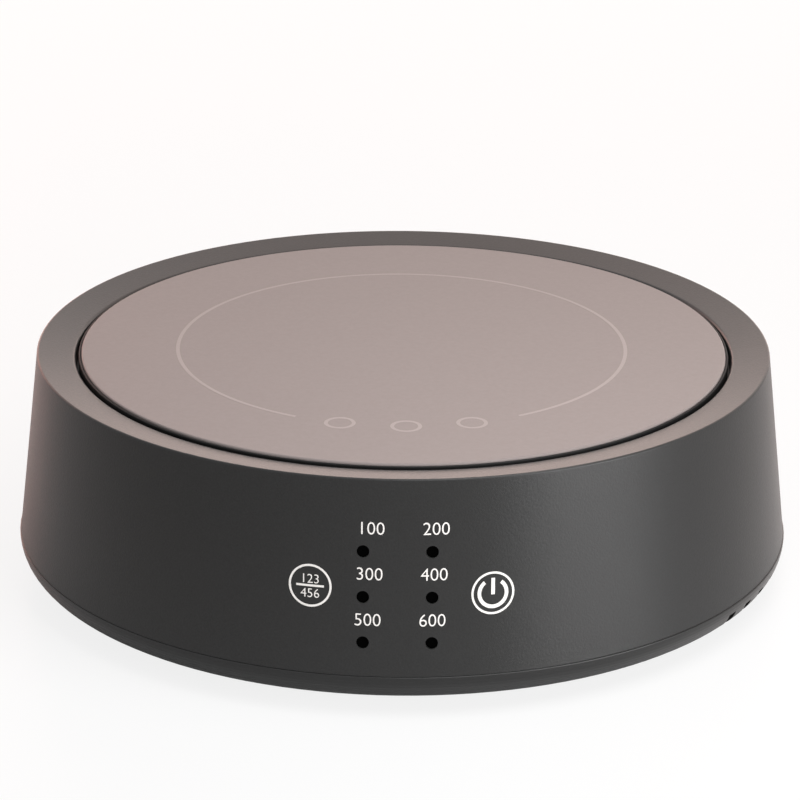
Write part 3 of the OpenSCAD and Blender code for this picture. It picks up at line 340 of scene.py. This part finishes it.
def ink_line(path: np.ndarray, width: float, low: float, high: float, closed: bool) -> Shape:
    """Works out a printed line: a flat rectangle carried along a path.

    At each point the side step is the path's direction turned a quarter turn, times half the width. The four
    corners of the section are the point plus and minus that step, at the low and the high level. A closed
    path joins its last section to its first, and an open one gets a face at each end.

    Args:
        path: the line's middle, one row for each point, without a repeated last point.
        width: the line's width.
        low: the level of its underside.
        high: the level of its top.
        closed: whether the path comes back to its start.

    Returns:
        The corners, one row each, and the faces.
    """
    if closed:
        along = np.roll(path, -1, axis=0) - np.roll(path, 1, axis=0)
    else:
        along = np.gradient(path, axis=0)
    along /= np.linalg.norm(along, axis=1, keepdims=True)
    step = np.column_stack([-along[:, 1], along[:, 0]]) * width / 2
    count = len(path)
    levels = np.array([high, low, low, high])
    sides = len(levels)
    flat = np.stack([path - step, path - step, path + step, path + step], axis=1)
    level = np.broadcast_to(levels[None, :, None], (count, sides, 1))
    points = np.concatenate([flat, level], axis=2).reshape(-1, 3)
    rows = np.arange(count if closed else count - 1)
    row, corner = np.meshgrid(rows, np.arange(sides), indexing="ij")
    here = row * sides
    after = (row + 1) % count * sides
    turn = (corner + 1) % sides
    faces = np.stack([here + corner, here + turn, after + turn, after + corner], axis=2)
    faces = faces.reshape(-1, 4).tolist()
    if not closed:
        corners = list(range(sides))
        last = sides * (count - 1)
        faces += [corners[::-1], [last + corner for corner in corners]]
    return points, faces


def numerals(text: str, height: float, low: float, high: float) -> Shape:
    """Makes plain numerals as a thin solid, centred on the origin.

    The outline is drawn in a little, which leaves slivers at its sharp corners, so corners that nearly meet
    are welded. The thinning and the weld are shares of the height.

    Args:
        text: the numerals.
        height: the height of a numeral.
        low: the level of their underside.
        high: the level of their top.

    Returns:
        The corners, one row each, and the faces.
    """
    cap_share = 0.73
    thinning = 0.012
    weld = 0.01
    curve_steps = 4
    curve = bpy.data.curves.new("numerals", "FONT")
    curve.body = text
    curve.size = height / cap_share
    curve.align_x = "CENTER"
    curve.extrude = (high - low) / 2
    curve.offset = -thinning * height
    curve.resolution_u = curve_steps
    holder = bpy.data.objects.new("numerals", curve)
    bpy.context.scene.collection.objects.link(holder)
    bpy.context.view_layer.update()
    mesh = bpy.data.meshes.new_from_object(holder.evaluated_get(bpy.context.evaluated_depsgraph_get()))
    form = bmesh.new()
    form.from_mesh(mesh)
    bmesh.ops.remove_doubles(form, verts=form.verts, dist=weld * height)
    form.to_mesh(mesh)
    form.free()
    points = np.empty(len(mesh.vertices) * 3)
    mesh.vertices.foreach_get("co", points)
    points = points.reshape(-1, 3)
    faces = [list(face.vertices) for face in mesh.polygons]
    points -= [0, height / 2, -(high + low) / 2]
    bpy.data.objects.remove(holder)
    bpy.data.curves.remove(curve)
    bpy.data.meshes.remove(mesh)
    return points, faces


@dataclass
class Housing:
    """The moulded shell and base, with their screws, feet and cord gland."""

    rim_inset: float = 5.5 * MM

    def __post_init__(self) -> None:
        """Reads the shell's place from the frame."""
        low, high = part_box("upper_shell")
        self.seam_r = high.x
        self.seam_z = low.z
        self.lean = math.atan(self.rim_inset / (high.z - low.z))

    def on_wall(self, points: np.ndarray) -> np.ndarray:
        """Wraps flat points on the leaning wall.

        A point's height gives the wall's radius there. Its sideways place divided by that radius is the angle
        from the front, and its level is added along the wall's normal.

        Args:
            points: rows of sideways place, height above the table and level above the wall.

        Returns:
            Rows of x, y and z.
        """
        side, up, level = points.T
        radius = self.seam_r - (up - self.seam_z) * math.tan(self.lean)
        angle = side / radius
        out = radius + level * math.cos(self.lean)
        return np.column_stack([out * np.sin(angle), -out * np.cos(angle), up + level * math.sin(self.lean)])

    def build(self) -> None:
        """Dresses the housing."""
        dress(MATTE_ABS, "upper_shell")
        dress(PLAIN_ABS, "base_cover")
        dress(ZINC_STEEL, "housing_screws")
        dress(RUBBER, "cord_gland")
        dress(RUBBER, "foot_front_left", "foot_front_right", "foot_rear_left", "foot_rear_right")


@dataclass
class CookingTop:
    """The glass top and its seal, with the printed ring of the heated zone, which is open at the front."""

    zone_at: Point = (-0.45 * MM, -0.4 * MM)
    zone_r: float = 57.7 * MM
    line_w: float = 0.95 * MM
    open_from: float = -26.6
    open_to: float = 30.0
    dot_r: float = 3.4 * MM
    dot_angles: tuple[float, ...] = (-15.0, 1.2, 17.4)
    print_t: float = 0.02 * MM
    ring_steps: int = 180
    dot_steps: int = 48

    def build(self) -> None:
        """Dresses the glass and prints the zone's marks on it."""
        dress(SATIN_GLASS, "glass_top")
        dress(SILICONE, "glass_seal")
        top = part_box("glass_top")[1].z
        front = -90
        first = front + self.open_to
        last = front + FULL_TURN + self.open_from
        ring = arc(self.zone_at, self.zone_r, first, last, self.ring_steps)
        self.print_line("print_zone_ring", ring, top, False)
        for number, angle in enumerate(self.dot_angles, 1):
            place = arc(self.zone_at, self.zone_r, front + angle, front + angle, 0)[0]
            dot = arc(place, self.dot_r, 0, FULL_TURN, self.dot_steps)[:-1]
            self.print_line(f"print_zone_mark_{number}", dot, top, True)

    def print_line(self, name: str, path: np.ndarray, top: float, closed: bool) -> None:
        """Prints one line on the glass.

        Args:
            name: the piece's name.
            path: the line's middle.
            top: the height of the glass.
            closed: whether the line comes back to its start.
        """
        points, faces = ink_line(path, self.line_w, top - self.print_t, top + self.print_t, closed)
        add_piece(name, points, faces, PALE_ENAMEL)


@dataclass
class TouchPanel:
    """The control board behind the front wall, and the marks that are printed on the wall."""

    housing: Housing
    led_columns: Point = (-9.2 * MM, 7.1 * MM)
    led_rows: Triple = (41.4 * MM, 30.3 * MM, 19.1 * MM)
    label_h: float = 3.2 * MM
    label_rise: float = 5.75 * MM
    label_shift: Point = (1.1 * MM, 0.1 * MM)
    label_slant: float = 0.4 * MM
    key_r: float = 4.95 * MM
    key_line_w: float = 0.5 * MM
    select_at: Point = (-21.84 * MM, 32.2 * MM)
    select_h: float = 2.3 * MM
    select_rise: float = 1.75 * MM
    divider_half: float = 3.35 * MM
    power_at: Point = (21.62 * MM, 30.7 * MM)
    power_r: float = 3.3 * MM
    power_line_w: float = 0.88 * MM
    power_gap: float = 37.0
    bar_low: float = -0.35 * MM
    bar_high: float = 3.65 * MM
    ink_low: float = -0.06 * MM
    ink_high: float = 0.05 * MM
    ring_steps: int = 96
    arc_steps: int = 72
    divider_points: int = 9

    def build(self) -> None:
        """Dresses the board and prints the marks."""
        dress(LAMINATE, "control_board")
        dress(BLACK_POLYESTER, "control_chip")
        dress(NATURAL_NYLON, "control_socket")
        dress(SMOKED_ACRYLIC, "indicator_lens")
        dress(SPRING_WIRE, "touch_spring_select", "touch_spring_power")
        dress(ZINC_STEEL, "panel_screws")
        lights = len(self.led_rows) * len(self.led_columns)
        dress(MILKY_EPOXY, *[f"indicator_led_{number}" for number in range(1, lights + 1)])
        self.print_labels()
        self.print_select_key()
        self.print_power_key()

    def print_on_wall(self, name: str, shape: Shape, at: Point) -> None:
        """Prints a flat shape on the wall.

        Args:
            name: the piece's name.
            shape: its corners, about its own middle, and its faces.
            at: the sideways place and the height of its middle.
        """
        points, faces = shape
        add_piece(name, self.housing.on_wall(points + np.array([*at, 0])), faces, WHITE_INK)

    def line(self, path: np.ndarray, width: float, closed: bool) -> Shape:
        """Works out a line of the panel's ink along a flat path."""
        return ink_line(path, width, self.ink_low, self.ink_high, closed)

    def digits(self, text: str, height: float) -> Shape:
        """Makes numerals of the panel's ink."""
        return numerals(text, height, self.ink_low, self.ink_high)

    def print_labels(self) -> None:
        """Prints a plain number above each indicator."""
        last_row = len(self.led_rows) - 1
        for row, height in enumerate(self.led_rows):
            for column, side in enumerate(self.led_columns):
                number = len(self.led_columns) * row + column + 1
                shift = self.label_shift[column] + self.label_slant * (last_row - row)
                at = (side + shift, height + self.label_rise)
                self.print_on_wall(f"print_label_{number}", self.digits(f"{number}00", self.label_h), at)

    def print_key_ring(self, key: str, at: Point) -> None:
        """Prints the ring round a key.

        Args:
            key: the key's name.
            at: the sideways place and the height of its middle.
        """
        ring = arc((0, 0), self.key_r, 0, FULL_TURN, self.ring_steps)[:-1]
        self.print_on_wall(f"print_{key}_ring", self.line(ring, self.key_line_w, True), at)

    def print_select_key(self) -> None:
        """Prints the selector key: a ring, and two rows of numbers with a line between them."""
        self.print_key_ring("select", self.select_at)
        along = np.linspace(-self.divider_half, self.divider_half, self.divider_points)
        divider = np.column_stack([along, np.zeros(self.divider_points)])
        self.print_on_wall("print_select_line", self.line(divider, self.key_line_w, False), self.select_at)
        side, up = self.select_at
        for name, text, rise in (("upper", "123", self.select_rise), ("lower", "456", -self.select_rise)):
            self.print_on_wall(f"print_select_{name}", self.digits(text, self.select_h), (side, up + rise))

    def print_power_key(self) -> None:
        """Prints the power key: a ring round a ring that is open at the top, with a bar."""
        self.print_key_ring("power", self.power_at)
        top = 90
        first = top + self.power_gap
        last = top + FULL_TURN - self.power_gap
        turn = arc((0, 0), self.power_r, first, last, self.arc_steps)
        self.print_on_wall("print_power_arc", self.line(turn, self.power_line_w, False), self.power_at)
        bar = np.array([[0, self.bar_low], [0, self.bar_high]])
        self.print_on_wall("print_power_bar", self.line(bar, self.power_line_w, False), self.power_at)


@dataclass
class Heater:
    """The ribbon heater in its sprung pan, with the limiter and the heat shield."""

    springs: int = 3

    def build(self) -> None:
        """Dresses the heater."""
        dress(ALUMINISED_SHEET, "heater_pan", "heat_shield")
        dress(CERAMIC_FIBRE, "insulation_disc", "insulation_ring")
        dress(RESISTANCE_STRIP, "heating_ribbon")
        dress(STEATITE, "limiter_rod", "limiter_head", "heater_terminal")
        dress(SPRING_WIRE, *[f"pan_spring_{number}" for number in range(1, self.springs + 1)])


class PowerBoard:
    """The power board and the parts that stand on it."""

    def build(self) -> None:
        """Dresses the board."""
        dress(LAMINATE, "power_board")
        dress(BLACK_POLYESTER, "mains_terminal", "heater_outlet", "triac")
        dress(STEATITE, "fuse")
        dress(CAPACITOR_CASE, "filter_capacitor")
        dress(COPPER_TURNS, "supply_transformer")
        dress(VINYL_SLEEVE, "smoothing_capacitor")
        dress(ANODISED_ALUMINIUM, "heat_sink")
        dress(NATURAL_NYLON, "fan_socket", "panel_socket")
        dress(ZINC_STEEL, "board_screws")


class CoolingFan:
    """The fan in the base, whose rotor spins."""

    def build(self) -> None:
        """Dresses the fan."""
        dress(BLACK_POLYESTER, "fan_frame", "fan_rotor")
        dress(COPPER_TURNS, "fan_stator")
        dress(SINTERED_BRONZE, "fan_bearing")
        dress(ZINC_STEEL, "fan_screws")
        dress(FERRITE, "fan_magnet")
        dress(SPRING_WIRE, "fan_shaft")


class Wiring:
    """The leads between the boards, the heater and the fan."""

    def build(self) -> None:
        """Dresses the leads."""
        dress(BRAID_SLEEVE, "heater_lead_live", "heater_lead_return", "limiter_jumper")
        dress(RED_SHEATH, "fan_lead")
        dress(RIBBON_CABLE, "panel_harness")


@dataclass(frozen=True)
class SoftBox:
    """A soft lamp that hangs round the stove and faces it.

    Its angles are in degrees from the front and from the table, its lengths in metres and its power in watts.
    """

    name: str
    azimuth: float
    elevation: float
    distance: float
    width: float
    height: float
    power: float
    shade: str = WHITE

    def hang(self, target: Vector) -> None:
        """Hangs the lamp and turns it to the target.

        Args:
            target: the place that it faces.
        """
        lamp = bpy.data.lights.new(self.name, "AREA")
        lamp.shape = "RECTANGLE"
        lamp.size = self.width
        lamp.size_y = self.height
        lamp.energy = self.power
        lamp.color = linear(self.shade)[:3]
        turn = math.radians(self.azimuth)
        rise = math.radians(self.elevation)
        away = Vector((math.sin(turn) * math.cos(rise), -math.cos(turn) * math.cos(rise), math.sin(rise)))
        holder = bpy.data.objects.new(self.name, lamp)
        holder.location = target + away * self.distance
        holder.rotation_euler = away.to_track_quat("Z", "Y").to_euler()
        holder.visible_camera = False
        bpy.context.scene.collection.objects.link(holder)


@dataclass
class Studio:
    """A pale floor, a white room, soft lamps and the camera.

    A glow is the share of white that rays see on the floor. The fill is how bright the room is as a light.
    """

    camera_at: Triple = (-0.783 * MM, -840.73 * MM, 361.1 * MM)
    camera_pitch: float = 20.718
    camera_roll: float = 0.411
    lens: float = 155.574
    sensor: float = 36.0
    sight: float = 100.0
    floor_size: float = 8.0
    floor_shade: str = "#f8f8f8"
    floor_roughness: float = 0.35
    floor_glow: float = 0.84
    mirror_glow: float = 0.05
    room_fill: float = 0.32
    lamps: tuple[SoftBox, ...] = (
        SoftBox("key", 55, 7, 1.4, 1.0, 0.6, 20),
        SoftBox("top", 30, 57, 0.28, 0.2, 0.2, 0.56),
        SoftBox("back", 150, 40, 1.5, 1.6, 1.0, 3.5, "#ffcab4"),
        SoftBox("back_low", 175, 6, 1.5, 1.5, 0.45, 4.9, "#ffdacb"),
        SoftBox("left_rim", -150, 12, 1.4, 0.9, 0.6, 3.6, "#ffa690"),
    )

    def build(self) -> None:
        """Sets the stage."""
        bpy.context.scene.view_settings.view_transform = "Standard"
        self.lay_floor()
        self.paint_room()
        low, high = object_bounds()
        target = (Vector(low) + Vector(high)) / 2
        for lamp in self.lamps:
            lamp.hang(target)
            LOG.info("hung the %s lamp", lamp.name)
        self.place_camera()

    def lay_floor(self) -> None:
        """Lays the pale floor, which glows white to the camera and still takes the stove's shadow."""
        half = self.floor_size / 2
        corners = np.array([[-half, -half, 0], [half, -half, 0], [half, half, 0], [-half, half, 0]])
        mesh = bpy.data.meshes.new("floor")
        mesh.from_pydata(corners.tolist(), [], [[0, 1, 2, 3]])
        material = bpy.data.materials.new("acrylic sheet, white satin")
        material.use_nodes = True
        tree = material.node_tree
        tree.nodes.clear()
        satin = {"Base Color": linear(self.floor_shade), "Roughness": self.floor_roughness}
        sheet = add_node(tree, "ShaderNodeBsdfPrincipled", satin)
        glow = add_node(tree, "ShaderNodeEmission", {"Color": linear(WHITE), "Strength": WHITE_GLOW})
        share = self.ray_share(tree, self.floor_glow, self.mirror_glow)
        mixed = add_node(tree, "ShaderNodeMixShader", {0: share, 1: sheet.outputs[0], 2: glow.outputs[0]})
        add_node(tree, "ShaderNodeOutputMaterial", {"Surface": mixed.outputs[0]})
        mesh.materials.append(material)
        floor = bpy.data.objects.new("floor", mesh)
        bpy.context.scene.collection.objects.link(floor)
        floor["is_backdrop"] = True

    def ray_share(self, tree: bpy.types.NodeTree, seen: float, mirrored: float) -> bpy.types.NodeSocket:
        """Tells the rays that see the background from those that only light the stove.

        Args:
            tree: the node tree.
            seen: the share for camera rays.
            mirrored: the share for glossy and transmission rays.

        Returns:
            A socket with that share, which is 0 for all other rays.
        """
        path = add_node(tree, "ShaderNodeLightPath")
        camera = path.outputs["Is Camera Ray"]
        glossy = path.outputs["Is Glossy Ray"]
        through = path.outputs["Is Transmission Ray"]
        direct = add_node(tree, "ShaderNodeMath", {0: camera, 1: seen}, operation="MULTIPLY")
        bounce = add_node(tree, "ShaderNodeMath", {0: glossy, 1: through}, operation="MAXIMUM")
        mirror = add_node(tree, "ShaderNodeMath", {0: bounce.outputs[0], 1: mirrored}, operation="MULTIPLY")
        both = {0: direct.outputs[0], 1: mirror.outputs[0]}
        share = add_node(tree, "ShaderNodeMath", both, operation="MAXIMUM")
        return share.outputs[0]

    def paint_room(self) -> None:
        """Makes the room white where it is seen, and dimmer where it only lights the stove."""
        world = bpy.data.worlds.new("white room")
        world.use_nodes = True
        tree = world.node_tree
        tree.nodes.clear()
        share = self.ray_share(tree, WHITE_GLOW, WHITE_GLOW)
        levels = {"Value": share, "To Min": self.room_fill, "To Max": WHITE_GLOW}
        level = add_node(tree, "ShaderNodeMapRange", levels)
        white = {"Color": linear(WHITE), "Strength": level.outputs[0]}
        room = add_node(tree, "ShaderNodeBackground", white)
        add_node(tree, "ShaderNodeOutputWorld", {"Surface": room.outputs[0]})
        bpy.context.scene.world = world

    def place_camera(self) -> None:
        """Places the camera as the stove was looked at: from the front, a little above."""
        lens = bpy.data.cameras.new("camera")
        lens.lens = self.lens
        lens.sensor_width = self.sensor
        lens.clip_end = self.sight
        camera = bpy.data.objects.new("camera", lens)
        tilt = Matrix.Rotation(math.radians(90 - self.camera_pitch), 4, "X")
        roll = Matrix.Rotation(math.radians(self.camera_roll), 4, "Z")
        camera.matrix_world = Matrix.Translation(self.camera_at) @ tilt @ roll
        bpy.context.scene.collection.objects.link(camera)
        bpy.context.scene.camera = camera


def main() -> None:
    """Builds the stove's looks in order."""
    logging.basicConfig(level=logging.INFO, format="%(name)s: %(message)s")
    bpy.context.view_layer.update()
    housing = Housing()
    panel = TouchPanel(housing)
    parts = (housing, CookingTop(), panel, Heater(), PowerBoard(), CoolingFan(), Wiring(), Studio())
    for part in parts:
        LOG.info("building %s", type(part).__name__)
        part.build()


if __name__ == "__main__":
    main()
